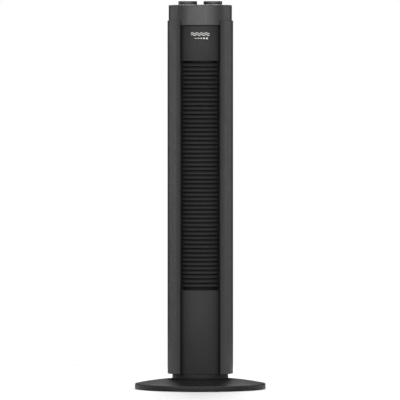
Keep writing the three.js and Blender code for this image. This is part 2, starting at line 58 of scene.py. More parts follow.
FOOT_R = 7
FOOT_H = 3
NECK_R = 56.2
NECK_SEAT_Z = 20.6
TOWER_Z = 31
SHELL_TOP_Z = 741
SKIRT_Z = 731
CAP_TOP_Z = 772
BODY_R = 66
CAP_R = 63.6
COLUMN_IN_X = 41
SEAM = math.radians(62.5)
SEAM_GAP = 0.004
PANEL_R, PANEL_WALL = 57, 2.5
COVER_SEAM_Z = 684
GRILLE_Z0, GRILLE_Z1, GRILLE_HALF_W, SLATS = 199.8, 659.2, 38.6, 53
INTAKE_Z0, INTAKE_Z1, INTAKE_ROWS, INTAKE_BAND, INTAKE_SLOT = 150, 656, 4, 10, 4.4
REAR_STEPS = 24
GRIP_HALF_W, GRIP_Z0, GRIP_Z1, GRIP_Y = 36, 692, 718, 38
WHEEL_Y, WHEEL_R, WHEEL_IN_R, WHEEL_Z0, WHEEL_Z1 = 8, 38, 30.5, 195, 661
KNOB_X, KNOB_Y, KNOB_R = 25.2, -8, 18.8
KNOB_SEAT_Z = 772.4
BUTTON_Y, BUTTON_R, BUTTON_TOP = 27, 6.5, 774.2
GLAND_Z = 62
SCREW_X, SCREW_SEAT_Y, SCREW_Z = 33, 50, (50, 676)
TURN = 2 * math.pi


# ---- materials ----
def srgb(value):
    """A display grey or colour of 0 to 255 as linear light."""
    def linear(v):
        v /= 255
        return v / 12.92 if v <= 0.04045 else ((v + 0.055) / 1.055) ** 2.4

    return tuple(linear(v) for v in (value if isinstance(value, tuple) else (value,) * 3))


CLOUD_SCALE, CLOUD_DETAIL = 14.0, 3.0
GLOSS_SCALE, GLOSS_DETAIL, GLOSS_SPREAD = 70.0, 4.0, 0.06
GRAIN_DETAIL, GRAIN_ROUGHNESS, GRAIN_DEPTH = 3.0, 0.6, 0.0001


def noise(nodes, links, coords, scale, detail, roughness=0.5):
    tex = nodes.new("ShaderNodeTexNoise")
    tex.inputs["Scale"].default_value = scale
    tex.inputs["Detail"].default_value = detail
    tex.inputs["Roughness"].default_value = roughness
    links.new(coords, tex.inputs["Vector"])
    return tex.outputs["Fac"]


def span(nodes, links, value, low, high):
    """Maps a noise value of about 0.3 to 0.7 onto low to high."""
    ramp = nodes.new("ShaderNodeMapRange")
    ramp.inputs["From Min"].default_value = 0.3
    ramp.inputs["From Max"].default_value = 0.7
    ramp.inputs["To Min"].default_value = low
    ramp.inputs["To Max"].default_value = high
    links.new(value, ramp.inputs["Value"])
    return ramp.outputs["Result"]


def surface(
    name, colour, rough, metallic=0.0, variation=0.08, grain=900.0, bump=0.15,
    stretch=(1, 1, 1), specular=0.5,
):
    """A moulded or metal surface: cloudy colour, uneven gloss and a fine grain that stands out."""
    mat = bpy.data.materials.new(name)
    mat.use_nodes = True
    nodes, links = mat.node_tree.nodes, mat.node_tree.links
    shader = nodes["Principled BSDF"]
    shader.inputs["Metallic"].default_value = metallic
    shader.inputs["Specular IOR Level"].default_value = specular
    coords = nodes.new("ShaderNodeTexCoord")
    mapping = nodes.new("ShaderNodeMapping")
    mapping.inputs["Scale"].default_value = stretch
    links.new(coords.outputs["Object"], mapping.inputs["Vector"])
    place = mapping.outputs["Vector"]
    cloud = span(nodes, links, noise(nodes, links, place, CLOUD_SCALE, CLOUD_DETAIL), 0.0, 1.0)
    mix = nodes.new("ShaderNodeMix")
    mix.data_type = "RGBA"
    base = srgb(colour)
    mix.inputs["A"].default_value = (*[c * (1 - variation) for c in base], 1)
    mix.inputs["B"].default_value = (*[c * (1 + variation) for c in base], 1)
    links.new(cloud, mix.inputs["Factor"])
    links.new(mix.outputs["Result"], shader.inputs["Base Color"])
    patches = noise(nodes, links, place, GLOSS_SCALE, GLOSS_DETAIL)
    gloss = span(nodes, links, patches, rough - GLOSS_SPREAD, rough + GLOSS_SPREAD)
    links.new(gloss, shader.inputs["Roughness"])
    fine = noise(nodes, links, place, grain, GRAIN_DETAIL, GRAIN_ROUGHNESS)
    raised = nodes.new("ShaderNodeBump")
    raised.inputs["Strength"].default_value = bump
    raised.inputs["Distance"].default_value = GRAIN_DEPTH
    links.new(fine, raised.inputs["Height"])
    links.new(raised.outputs["Normal"], shader.inputs["Normal"])
    mat.diffuse_color = (*base, 1)
    return mat


LOOKS = {
    "base_plastic": surface("satin_black_base", 22, 0.38, bump=0.06, grain=1100, specular=0.28),
    "shell_plastic": surface("matte_grey_shell", 42, 0.36, bump=0.1),
    "panel_plastic": surface("matte_black_panel", 43, 0.36, bump=0.08, specular=0.12),
    "knob_plastic": surface("satin_knob", 44, 0.34, bump=0.06, grain=1300),
    "inner_plastic": surface("inner_black_moulding", 30, 0.65, bump=0.3, grain=500),
    "wheel_plastic": surface("wheel_black", 26, 0.55, bump=0.2),
    "nylon": surface("natural_nylon", (214, 210, 198), 0.45, bump=0.1),
    "switch_plastic": surface("switch_moulding", (222, 218, 205), 0.5, bump=0.15),
    "wire_jacket": surface("wire_jacket", 28, 0.5, bump=0.2, stretch=(1, 1, 0.2)),
    "rubber": surface("soft_rubber", 24, 0.85, variation=0.15, bump=0.4, grain=600, specular=0.3),
    "steel": surface("zinc_steel", (176, 178, 180), 0.34, 1.0, stretch=(1, 1, 6), bump=0.1),
    "motor_casing": surface("pressed_sheet", (160, 162, 166), 0.42, 1.0, variation=0.12, bump=0.15),
    "laminated_steel": surface("laminations", (120, 122, 126), 0.5, 1.0, stretch=(0.05, 0.05, 1.6), bump=0.6),
}
# Painted shade: the neck is the base's black plastic, made duller here with less specular, to stand in for
# the shadow under the tower's overhang.
NECK_SHADE_LOOK = surface("black_neck_with_painted_shade", 26, 0.42, bump=0.08, specular=0.16)
# Painted shade: the slats are moulded of the panel plastic, and this darker copy stands in for the shade
# inside the grille's recess.
SLAT_SHADE_LOOK = surface("black_slats_with_painted_shade", 35, 0.42, bump=0.08, specular=0.12)
# Painted shade: a very dark look for the strip behind the gap under the lowest slat, which stands in for the
# shadow there.
PAINTED_SHADE_SILL_LOOK = surface("painted_shade_sill", 19, 0.5, specular=0.08)
PRINT = surface("printed_marks", (205, 205, 202), 0.6, bump=0.1, variation=0.04)

for entry in frame["record"]["subparts"]:
    node = frame["nodes"][entry["node"]]
    node.data.materials.clear()
    node.data.materials.append(LOOKS[entry["material_slot"]])


# ---- mesh building ----
def new_object(name, verts, faces):
    mesh = bpy.data.meshes.new(name)
    mesh.from_pydata([tuple(c * MM for c in v) for v in verts], [], faces)
    mesh.validate()
    obj = bpy.data.objects.new(name, mesh)
    bpy.context.scene.collection.objects.link(obj)
    return obj


def fix_normals(obj):
    bm = bmesh.new()
    bm.from_mesh(obj.data)
    bmesh.ops.recalc_face_normals(bm, faces=bm.faces)
    bm.to_mesh(obj.data)
    bm.free()
    return obj


def solid(name, part):
    """An object from a part's vertices and faces, with its faces turned outwards."""
    return fix_normals(new_object(name, *part))


def bake(obj):
    """Makes the modifiers part of the mesh."""
    graph = bpy.context.evaluated_depsgraph_get()
    mesh = bpy.data.meshes.new_from_object(obj.evaluated_get(graph))
    obj.modifiers.clear()
    obj.data = mesh
    return obj


def apply_modifiers(obj, sharp=35):
    """Bakes the modifiers, then shades the mesh smooth up to an angle."""
    bake(obj)
    obj.data.shade_smooth()
    obj.data.set_sharp_from_angle(angle=math.radians(sharp))
    return obj


def even_normals(obj):
    """Lets the large faces decide the shading beside bevelled edges and holes."""
    mod = obj.modifiers.new("normals", "WEIGHTED_NORMAL")
    mod.weight = 100
    mod.keep_sharp = True
    return bake(obj)


def bevel(obj, width, segments=2):
    mod = obj.modifiers.new("edges", "BEVEL")
    mod.width = width * MM
    mod.segments = segments
    mod.limit_method = "ANGLE"
    mod.angle_limit = math.radians(40)
    mod.use_clamp_overlap = True
    return obj


def cut_with(obj, *cutters):
    for cutter in cutters:
        mod = obj.modifiers.new("cut", "BOOLEAN")
        mod.operation = "DIFFERENCE"
        mod.solver = "EXACT"
        mod.object = cutter
    apply_modifiers(obj)
    for cutter in cutters:
        bpy.data.objects.remove(cutter)


def finish_piece(obj, look, body, *nodes, material=None):
    """Gives a piece its look, its body and the CAD nodes that it stands for."""
    obj.data.materials.clear()
    obj.data.materials.append(material or LOOKS[look])
    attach(obj, body)
    if nodes:
        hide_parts(*nodes)


def skin(loops):
    """Faces between successive closed loops of points, with the first and the last loop closed."""
    count = len(loops[0])
    verts = [p for loop in loops for p in loop]
    faces = []
    for k in range(len(loops) - 1):
        a, b = k * count, (k + 1) * count
        for i in range(count):
            j = (i + 1) % count
            faces.append((a + i, a + j, b + j, b + i))
    faces.append(tuple(reversed(range(count))))
    faces.append(tuple(range(len(verts) - count, len(verts))))
    return verts, faces


def merge(*parts):
    verts, faces = [], []
    for v, f in parts:
        start = len(verts)
        verts.extend(v)
        faces.extend(tuple(i + start for i in face) for face in f)
    return verts, faces


def lathe(profile, sides, x=0, y=0, closed=True):
    """A profile of (radius, height) turned about a vertical axis. Points on the axis are joined."""
    verts, faces, rows = [], [], []
    for r, z in profile:
        if r == 0:
            rows.append([len(verts)] * sides)
            verts.append((x, y, z))
        else:
            rows.append(list(range(len(verts), len(verts) + sides)))
            for i in range(sides):
                a = TURN * i / sides
                verts.append((x + r * math.cos(a), y + r * math.sin(a), z))
    pairs = len(rows) if closed else len(rows) - 1
    for k in range(pairs):
        low, high = rows[k], rows[(k + 1) % len(rows)]
        for i in range(sides):
            j = (i + 1) % sides
            face = []
            for v in (low[i], low[j], high[j], high[i]):
                if v not in face:
                    face.append(v)
            if len(face) > 2:
                faces.append(tuple(face))
    return verts, faces


def arc_points(cx, cz, r, a0, a1, steps):
    """Points on a circle in the (radius, height) plane, angles in degrees from the outward direction."""
    return [
        (cx + r * math.cos(math.radians(a0 + (a1 - a0) * i / steps)),
         cz + r * math.sin(math.radians(a0 + (a1 - a0) * i / steps)))
        for i in range(steps + 1)
    ]


def prism(outline, z0, z1):
    return skin([[(x, y, z) for x, y in outline] for z in (z0, z1)])


def spread(a, b, steps):
    """Evenly spaced values from a to b, with both ends."""
    return [a + (b - a) * i / steps for i in range(steps + 1)]


def around(angle, r):
    """The plan point at a radius and an angle from the front."""
    return (r * math.sin(angle), -r * math.cos(angle))


def arc(a, b, steps, r):
    return [around(t, r) for t in spread(a, b, steps)]


def wall(outer, inner, levels, hole=None):
    """A wall with thickness between two sets of matching plan lines, one pair for each level. A cell is left
    out where hole(i, k) is true, and the opening gets its side walls."""
    n = len(outer[0])
    verts = []
    for lines in (outer, inner):
        for line, z in zip(lines, levels):
            verts.extend((x, y, z) for x, y in line)
    rows = len(levels)

    def front(i, k):
        return k * n + i

    def back(i, k):
        return (rows + k) * n + i

    def full(i, k):
        return 0 <= i < n - 1 and 0 <= k < rows - 1 and not (hole and hole(i, k))

    faces = []
    for k in range(rows):
        for i in range(n):
            if full(i, k):
                faces.append((front(i, k), front(i + 1, k), front(i + 1, k + 1), front(i, k + 1)))
                faces.append((back(i, k), back(i, k + 1), back(i + 1, k + 1), back(i + 1, k)))
            if k < rows - 1 and full(i - 1, k) != full(i, k):
                face = (front(i, k), front(i, k + 1), back(i, k + 1), back(i, k))
                faces.append(face if full(i - 1, k) else face[::-1])
            if i < n - 1 and full(i, k - 1) != full(i, k):
                face = (front(i, k), back(i, k), back(i + 1, k), front(i + 1, k))
                faces.append(face if full(i, k - 1) else face[::-1])
    return verts, faces


def along_y(part, x, z):
    """A part turned about the vertical, laid along +Y through x and z."""
    verts, faces = part
    return [(x + a, h, z - b) for a, b, h in verts], faces


def bar(r, y0, y1, x, z):
    """A round cutter along Y."""
    return solid("cutter", along_y(lathe([(0, y0), (r, y0), (r, y1), (0, y1)], 48, closed=False), x, z))


def upright(r, z0, z1, x, y):
    """A round cutter along Z."""
    return solid("cutter", lathe([(0, z0), (r, z0), (r, z1), (0, z1)], 64, x, y, closed=False))


# ---- base ----
def crown_z(r):
    fall = ((r - CROWN_R) / (CROWN_END_R - CROWN_R)) ** CROWN_POWER if r > CROWN_R else 0
    return NECK_SEAT_Z - (NECK_SEAT_Z - RIM_TOP_Z) * fall


RIM_ROUND, LIP_ROUND = 2.1, 1.1
BASE_BORE_R, BASE_SEAT_R = 14.9, 36
BASE_RIBS, RIB_IN_R, RIB_TOP_Z = 8, 34, 18.1
SOCKET_R = 8.5


def foot_place(i):
    return around(TURN * (i + 0.5) / FEET, FOOT_CIRCLE_R)


def base_rib(i):
    """One of the upright ribs under the crown."""
    side_line = [(RIB_IN_R, RIB_TOP_Z), (CROWN_R, RIB_TOP_Z), (126, 9), (129, 6), (RIB_IN_R, 12)]
    a = TURN * (i + 0.5) / BASE_RIBS
    c, s = math.cos(a), math.sin(a)
    return skin([[(r * c - t * s, r * s + t * c, z) for r, z in side_line] for t in (-1, 1)])


def foot_socket(i):
    """The boss in the shell that a foot is pressed into."""
    x, y = foot_place(i)
    floor_z, top = FOOT_H + GAP, crown_z(FOOT_CIRCLE_R + FOOT_R + 1.5) - 1
    profile = [(0, floor_z), (SOCKET_R - 0.5, floor_z), (SOCKET_R, FOOT_H + 0.8), (SOCKET_R, top), (0, top)]
    return lathe(profile, 40, x, y, closed=False)


def base_shell():
    radii = spread(CROWN_R, CROWN_END_R - 0.6, 26)
    outer = [(r, crown_z(r)) for r in radii]
    inner = [(r, crown_z(r) - BASE_WALL) for r in reversed(radii[:-2])]
    rim = arc_points(BASE_R - RIM_ROUND, RIM_TOP_Z - 2.15, RIM_ROUND, 75, 0, 7)
    lip = arc_points(BASE_R - LIP_ROUND, RIM_Z + LIP_ROUND, LIP_ROUND, 0, -90, 5)
    profile = [(BASE_BORE_R, NECK_SEAT_Z), (BASE_SEAT_R, NECK_SEAT_Z), *outer, *rim, *lip,
               (BASE_R - BASE_WALL, RIM_Z), (BASE_R - BASE_WALL, 7.6), *inner,
               (BASE_BORE_R, NECK_SEAT_Z - BASE_WALL)]
    ribs = [base_rib(i) for i in range(BASE_RIBS)]
    sockets = [foot_socket(i) for i in range(FEET)]
    obj = solid("base_cover", merge(lathe(profile, 160), *ribs, *sockets))
    finish_piece(apply_modifiers(obj, sharp=30), "base_plastic", "base", "base_shell")


def foot_pad(i):
    x, y = foot_place(i)
    foot = [(0, 0), (5.9, 0), *arc_points(6.2, 0.8, 0.8, -90, 0, 4), (7, 2.6), (6.6, FOOT_H), (0, FOOT_H)]
    obj = solid(f"foot_pad_{i + 1}", lathe(foot, 40, x, y, closed=False))
    finish_piece(apply_modifiers(obj), "rubber", "base", f"rubber_foot_{i + 1}")


def neck_ring():
    """The neck: a cup open at the top, with a spigot that goes down through the base."""
    low_z, top_z = NECK_SEAT_Z + GAP, TOWER_Z - GAP
    spigot_r, spigot_z, bore_r = 14.5, 5.5, 9.35
    step_z, floor_z = 28.6, 23.2
    mouth_r, cup_r = NECK_R - 1, NECK_R - 3.2
    profile = [
        (bore_r, spigot_z), (spigot_r, spigot_z), (spigot_r, low_z), (NECK_R - 0.8, low_z),
        *arc_points(NECK_R - 0.8, low_z + 0.8, 0.8, -90, 0, 4),
        *arc_points(NECK_R - 0.4, top_z - 0.4, 0.4, 0, 90, 3),
        (mouth_r, top_z), (mouth_r, step_z), (cup_r, step_z), (cup_r, floor_z), (bore_r, floor_z),
    ]
    obj = solid("neck_ring", lathe(profile, 128))
    # The neck's duller look is painted shade for the shadow under the tower, not a plastic of its own.
    finish_piece(apply_modifiers(obj), "base_plastic", "base", "neck_collar", material=NECK_SHADE_LOOK)


base_shell()
for i in range(FEET):
    foot_pad(i)
neck_ring()


# ---- tower shells ----
TOP_CHAMFER_H, TOP_CHAMFER_W = 0.9, 0.7
# The rounded lower edge: heights above the tower's foot, and how far each is set in.
EDGE_RISE, EDGE_INSET = (0, 0.25, 0.8), (0.6, 0.15, 0)
EDGE_LEVELS = [TOWER_Z + rise for rise in EDGE_RISE]
SHELL_BEVEL = 0.35


def column(side):
    """A strip of the round shell, with the recess's side wall behind its inner edge."""
    levels = [*EDGE_LEVELS, SKIRT_Z - 0.5, SHELL_TOP_Z - TOP_CHAMFER_H, SHELL_TOP_Z]
    insets = [*EDGE_INSET, 0, 0, TOP_CHAMFER_W]
    start = math.asin(COLUMN_IN_X / BODY_R)
    outer = [arc(start, SEAM - SEAM_GAP, 16, BODY_R - i) for i in insets]
    inner = [arc(start, SEAM - SEAM_GAP, 16, BODY_R - WALL)] * len(levels)
    edge_y = around(start, BODY_R)[1]
    back_y = -38.6
    corner = [
        (COLUMN_IN_X + WALL, edge_y + 2.2), (COLUMN_IN_X + 0.25, edge_y + 0.55), (COLUMN_IN_X, edge_y + 1.0),
        (COLUMN_IN_X, back_y), (COLUMN_IN_X + WALL, back_y),
    ]
    verts, faces = merge(wall(outer, inner, levels), prism(corner, TOWER_Z, SKIRT_Z - 0.5))
    name = "right" if side > 0 else "left"
    obj = new_object("column_trim_" + name, [(side * x, y, z) for x, y, z in verts], faces)
    bevel(fix_normals(obj), SHELL_BEVEL)
    finish_piece(even_normals(apply_modifiers(obj, sharp=28)), "shell_plastic", "tower", name + "_column")


column(1)
column(-1)


def rear_wall(name, levels, insets, edges, hole):
    """The wrapping shell between two heights. Its plan line has a point at each edge of an opening."""
    free = spread(SEAM + SEAM_GAP, TURN - SEAM - SEAM_GAP, 110)
    angles = sorted([*edges, *[a for a in free if all(abs(a - e) > 0.012 for e in edges)]])
    middles = [(a + b) / 2 for a, b in zip(angles, angles[1:])]
    heights = [(a + b) / 2 for a, b in zip(levels, levels[1:])]
    outer = [[around(a, BODY_R - i) for a in angles] for i in insets]
    inner = [[around(a, BODY_R - WALL) for a in angles]] * len(levels)
    obj = solid(name, wall(outer, inner, levels, lambda i, k: hole(middles[i], heights[k])))
    return apply_modifiers(bevel(obj, SHELL_BEVEL), sharp=28)


def rear_housing():
    half = math.asin(INTAKE_SLOT / 2 / BODY_R)
    mids = [math.pi / 2 + math.pi * (i + 0.5) / REAR_STEPS for i in range(1, REAR_STEPS - 1)]
    row_h = (INTAKE_Z1 - INTAKE_Z0 - INTAKE_BAND * (INTAKE_ROWS - 1)) / INTAKE_ROWS
    starts = [INTAKE_Z0 + r * (row_h + INTAKE_BAND) for r in range(INTAKE_ROWS)]
    levels = [*EDGE_LEVELS, *[z for a in starts for z in (a, a + row_h)], COVER_SEAM_Z - GAP]
    insets = [*EDGE_INSET, *[0] * (len(levels) - len(EDGE_INSET))]

    def slot(angle, z):
        return any(a < z < a + row_h for a in starts) and any(abs(angle - m) < half for m in mids)

    obj = rear_wall("rear_casing", levels, insets, [m + s * half for m in mids for s in (-1, 1)], slot)
    past_y = BODY_R + 4
    cutters = [bar(4.2, SCREW_SEAT_Y, past_y, x, z) for x in (-SCREW_X, SCREW_X) for z in SCREW_Z]
    cut_with(obj, *cutters, bar(6.4, SCREW_SEAT_Y, past_y, 0, GLAND_Z))
    finish_piece(even_normals(obj), "shell_plastic", "tower", "rear_housing")


def rear_cover():
    """The top of the rear shell, with the window of the carrying grip."""
    half = math.asin(GRIP_HALF_W / BODY_R)
    levels = [COVER_SEAM_Z, GRIP_Z0, GRIP_Z1, SHELL_TOP_Z - TOP_CHAMFER_H, SHELL_TOP_Z]
    insets = [0, 0, 0, 0, TOP_CHAMFER_W]

    def window(angle, z):
        return GRIP_Z0 < z < GRIP_Z1 and abs(angle - math.pi) < half

    obj = rear_wall("rear_cover_shell", levels, insets, [math.pi - half, math.pi + half], window)
    finish_piece(even_normals(obj), "shell_plastic", "tower", "rear_cover")


rear_housing()
rear_cover()


def intake_ribs():
    """Upright stiffening ribs on the inside of the intake, above and below the lower baffle. One more stands
    over the motor's mount, behind its shaft."""
    half_t = 0.7
    motor_bay, wheel_bay = (151, 185.6), (189.4, 663.6)
    parts = [prism([(-half_t, 14), (half_t, 14), (half_t, 56.5), (-half_t, 56.5)], 156, motor_bay[1])]
    for degrees in range(100, 241, 20):
        angle = math.radians(degrees)
        across = (math.cos(angle) * half_t, math.sin(angle) * half_t)
        # The duct stands nearer to the shell past the middle of the back.
        for bay, reach in ((motor_bay, 56), (wheel_bay, 50 if degrees <= 180 else 54.6)):
            near, far = around(angle, reach), around(angle, BODY_R - WALL + 0.1)
            outline = [(x + s * across[0], y + s * across[1]) for (x, y), s in
                       ((near, -1), (far, -1), (far, 1), (near, 1))]
            parts.append(prism(outline, *bay))
    obj = solid("intake_stiffeners", merge(*parts))
    finish_piece(apply_modifiers(obj), "inner_plastic", "tower")


intake_ribs()


def screw_pocket(x, z, number):
    """The cup behind a hole in the housing. Its rim follows the inside of the shell."""
    bore_r, seat_r, cup_r = 2.3, 4.3, 6
    back_y, rim_y = SCREW_SEAT_Y - WALL, 58
    cup = [(bore_r, back_y), (cup_r, back_y), (cup_r, rim_y), (seat_r, rim_y), (seat_r, SCREW_SEAT_Y),
           (bore_r, SCREW_SEAT_Y)]
    verts, faces = along_y(lathe(cup, 48), x, z)
    reach = BODY_R - WALL + 0.5
    verts = [(a, math.sqrt(reach ** 2 - a ** 2) if b == rim_y else b, c) for a, b, c in verts]
    obj = solid(f"screw_pocket_{number}", (verts, faces))
    finish_piece(apply_modifiers(obj), "shell_plastic", "tower")


def cross_screw(x, z, number):
    """A pan-head screw with a cross recess."""
    shank_r, head_r, head_y, edge_y, top_y = 2, 3.7, SCREW_SEAT_Y + GAP, 51.4, 52.6
    profile = [(0, 40), (shank_r, 40), (shank_r, head_y), (head_r, head_y), (head_r, edge_y),
               *arc_points(head_r - 1, top_y - 1, 1.0, 10, 80, 4), (0, top_y)]
    obj = solid(f"cross_screw_{number}", along_y(lathe(profile, 40, closed=False), x, z))
    arms = []
    for w, h in ((0.5, 2.3), (2.3, 0.5)):
        corners = [(x - w, z - h), (x + w, z - h), (x + w, z + h), (x - w, z + h)]
        arms.append(solid("cutter", skin([[(a, y, c) for a, c in corners] for y in (edge_y, 54)])))
    cut_with(obj, *arms)
    finish_piece(obj, "steel", "tower", f"housing_screw_{number}")


for number, (z, x) in enumerate(((z, x) for z in SCREW_Z for x in (-SCREW_X, SCREW_X)), 1):
    screw_pocket(x, z, number)
    cross_screw(x, z, number)


def grip_pocket():
    """A rounded pocket for the fingers, open to the rear along the inside of the housing."""
    def rounded(grow, r):
        w, z0, z1 = GRIP_HALF_W + grow, GRIP_Z0 - grow, GRIP_Z1 + grow
        corners = ((w - r, z1 - r), (-w + r, z1 - r), (-w + r, z0 + r), (w - r, z0 + r))
        return [p for turn, (cx, cz) in enumerate(corners)
                for p in arc_points(cx, cz, r, 90 * turn, 90 * turn + 90, 6)]

    def edge_y(x, inset):
        return math.sqrt((BODY_R - inset) ** 2 - x ** 2)

    inner, outer = rounded(0, 4), rounded(2.4, 5)
    floor = [(x * 0.97, GRIP_Y, z) for x, z in rounded(-1.5, 5)]
    soft = [(x, GRIP_Y + 1.5, z) for x, z in inner]
    lip_in = [(x, edge_y(x, 2.5), z) for x, z in inner]
    lip_out = [(x, edge_y(x, 2.5), z) for x, z in outer]
    back = [(x, GRIP_Y - 2.4, z) for x, z in outer]
    obj = solid("grip_recess", skin([floor, soft, lip_in, lip_out, back]))
    finish_piece(apply_modifiers(obj, sharp=40), "shell_plastic", "tower", "grip_pocket")


def cord_gland():
    """The rubber gland in the back, with a stepped nose."""
    bore_r, neck_r, inner_y, flange_y, nose_y, end_y = 3.3, 6, 58.3, 66.4, 69, 71.7
    nose = [(6.6 - 0.35 * i + (0.35 if i % 2 else 0), nose_y + 0.45 * i) for i in range(6)]
    profile = [(bore_r, inner_y), (neck_r, inner_y), (neck_r, flange_y), (7.6, flange_y),
               *arc_points(7.4, 67, 0.6, -60, 60, 4), (7.2, 68.8), *nose, (4.6, end_y), (bore_r, end_y)]
    obj = solid("cord_inlet", along_y(lathe(profile, 48), 0, GLAND_Z))
    finish_piece(apply_modifiers(obj, sharp=50), "rubber", "tower", "cord_gland")


grip_pocket()
cord_gland()


# ---- front panel and slats ----
SLAT_OUT_R = PANEL_R - 1.8
GRILLE_EDGE = math.asin(GRILLE_HALF_W / PANEL_R)


def front_plate():
    """One plate above the grille and one below it."""
    half = math.asin((COLUMN_IN_X - 0.7) / PANEL_R)
    angles = spread(-half, half, 36)
    levels = [TOWER_Z + 0.5, GRILLE_Z0, GRILLE_Z1, SKIRT_Z + 1.5]
    outer = [around(a, PANEL_R) for a in angles]
    inner = [around(a, PANEL_R - PANEL_WALL) for a in angles]
    obj = solid("front_plate", wall([outer] * 4, [inner] * 4, levels, lambda i, k: k == 1))
    apply_modifiers(bevel(obj, 0.5, 3), sharp=30)
    finish_piece(obj, "panel_plastic", "tower", "front_grille")


def rail(side):
    """The upright that the slats end in."""
    width, front_r, back_r = 0.04, SLAT_OUT_R - 1.6, 50.6
    corners = ((0, front_r), (width, front_r), (width, back_r), (0, back_r))
    outline = [around(side * (GRILLE_EDGE + turn), r) for turn, r in corners]
    return prism(outline, GRILLE_Z0 - 2, GRILLE_Z1 + 2)


def grille_slats():
    pitch = (GRILLE_Z1 - GRILLE_Z0) / SLATS
    # A slat in section, as steps in and up: a rounded lip, and a thin tail that rises towards the wheel.
    section = [(2.0, -2.2), (1.1, -2.1), (0.4, -1.5), (0.05, -0.7), (0.0, 0.2), (0.2, 1.0), (0.7, 1.8),
               (1.4, 2.4), (4.4, 5.3), (4.75, 5.0), (2.6, 1.4)]
    # The last stretch of each slat steps back to the rails.
    bend_in, bend_out = GRILLE_EDGE - 0.03, GRILLE_EDGE + 0.02
    bends = [(a, 0) for a in spread(-bend_in, bend_in, 20)]
    bends = [(-bend_out, 2.2), (-GRILLE_EDGE, 2.0), *bends, (GRILLE_EDGE, 2.0), (bend_out, 2.2)]
    parts = [rail(-1), rail(1)]
    for i in range(1, SLATS):
        z = GRILLE_Z0 + i * pitch
        parts.append(skin([[(*around(a, SLAT_OUT_R - step - back), z + up) for step, up in section]
                           for a, back in bends]))
    obj = solid("grille_slats", merge(*parts))
    # The slats' darker look is painted shade for the grille's recess.
    finish_piece(apply_modifiers(obj, sharp=40), "panel_plastic", "tower", "front_grille", material=SLAT_SHADE_LOOK)


def grille_sill():
    """A dark strip inside the plate's top edge, which backs the gap under the lowest slat: painted shade,
    standing in for the shadow in that gap.
    """
    front_line = arc(-GRILLE_EDGE, GRILLE_EDGE, 24, SLAT_OUT_R - 6)
    back_line = arc(GRILLE_EDGE, -GRILLE_EDGE, 24, SLAT_OUT_R - 7)
    obj = solid("grille_sill", prism([*front_line, *back_line], GRILLE_Z0 - 3, GRILLE_Z0 + 9))
    apply_modifiers(bevel(obj, 0.2))
    # The strip's near-black look is painted shadow for the gap under the lowest slat.
    finish_piece(obj, "panel_plastic", "tower", "front_grille", material=PAINTED_SHADE_SILL_LOOK)


def duct_seal(side):
    """A foam strip that closes the gap between the duct and the column's side wall."""
    line = [(32.5, -33.9), (37.5, -35.4), (41.8, -38.7)]
    outline = [(side * x, y) for x, y in [*line, *[(x, y + 1.0) for x, y in reversed(line)]]]
    obj = solid("duct_seal_" + ("right" if side > 0 else "left"), prism(outline, 189.3, 663.7))
    finish_piece(apply_modifiers(bevel(obj, 0.2)), "inner_plastic", "tower")


front_plate()
grille_slats()
grille_sill()
duct_seal(-1)
duct_seal(1)


# ---- top cap ----
STEM_Z, STEM_HOLE_R = 764, 5.6


def top_cap():
    """The cap, with holes for the dials' stems and for the button."""
    under_z, inner_r, edge_round = CAP_TOP_Z - 2.5, CAP_R - 2.4, 1.8
    profile = [
        (0, under_z), (inner_r, under_z), (inner_r, SKIRT_Z + 0.3),
        (CAP_R - 2.1, SKIRT_Z), (CAP_R - 0.4, SKIRT_Z), (CAP_R, SKIRT_Z + 0.4),
        *arc_points(CAP_R - edge_round, CAP_TOP_Z - edge_round, edge_round, 0, 90, 7), (0, CAP_TOP_Z),
    ]
    obj = solid("cap_cover", lathe(profile, 160, closed=False))
    holes = [(STEM_HOLE_R, -KNOB_X, KNOB_Y), (STEM_HOLE_R, KNOB_X, KNOB_Y), (BUTTON_R + 0.5, 0, BUTTON_Y)]
    cut_with(obj, *[upright(r, CAP_TOP_Z - 12, HEIGHT, x, y) for r, x, y in holes])
    finish_piece(apply_modifiers(obj, sharp=30), "shell_plastic", "tower", "top_cap")


top_cap()


# ---- dials and button ----
def dial_cap(name, body, x):
    profile = [
        (0, STEM_Z), (4.7, STEM_Z), (5, STEM_Z + 0.4), (5, KNOB_SEAT_Z), (KNOB_R - 0.9, KNOB_SEAT_Z),
        *arc_points(KNOB_R - 0.5, KNOB_SEAT_Z + 0.5, 0.5, -90, 0, 3),
        *arc_points(KNOB_R - 1.5, HEIGHT - 1.5, 1.5, 0, 90, 6),
        (KNOB_R - 3.2, HEIGHT - 0.05), (KNOB_R - 3.9, HEIGHT - 0.5), (0, HEIGHT - 0.8),
    ]
    obj = solid(f"{name}_dial_cap", lathe(profile, 96, x, KNOB_Y, closed=False))
    finish_piece(apply_modifiers(obj, sharp=40), "knob_plastic", body, f"{name}_knob")


def finger_bar(name, body, x):
    """A raised bar across the dial, with round ends and sloping sides."""
    loops = []
    for z, grow in ((HEIGHT - 1.0, 0.0), (HEIGHT - 0.3, -0.1), (HEIGHT - 0.02, -0.5)):
        half_w, reach = 2.6 + grow, 14.2 + grow
        ends = ((reach - half_w, 0), (half_w - reach, 180))
        plan = [p for end_y, start in ends
                for p in arc_points(x, KNOB_Y + end_y, half_w, start, start + 180, 8)]
        loops.append([(px, py, z) for px, py in plan])
    obj = solid(f"{name}_finger_bar", skin(loops))
    finish_piece(apply_modifiers(obj, sharp=40), "knob_plastic", body)


def pointer(name, body, x):
    """The printed line at the front end of the bar."""
    half_w, far_y, near_y = 0.5, KNOB_Y - 13.2, KNOB_Y - 8
    outline = [(x - half_w, far_y), (x + half_w, far_y), (x + half_w, near_y), (x - half_w, near_y)]
    obj = solid(f"{name}_pointer", prism(outline, HEIGHT - 0.1, HEIGHT))
    finish_piece(apply_modifiers(obj), "knob_plastic", body, material=PRINT)


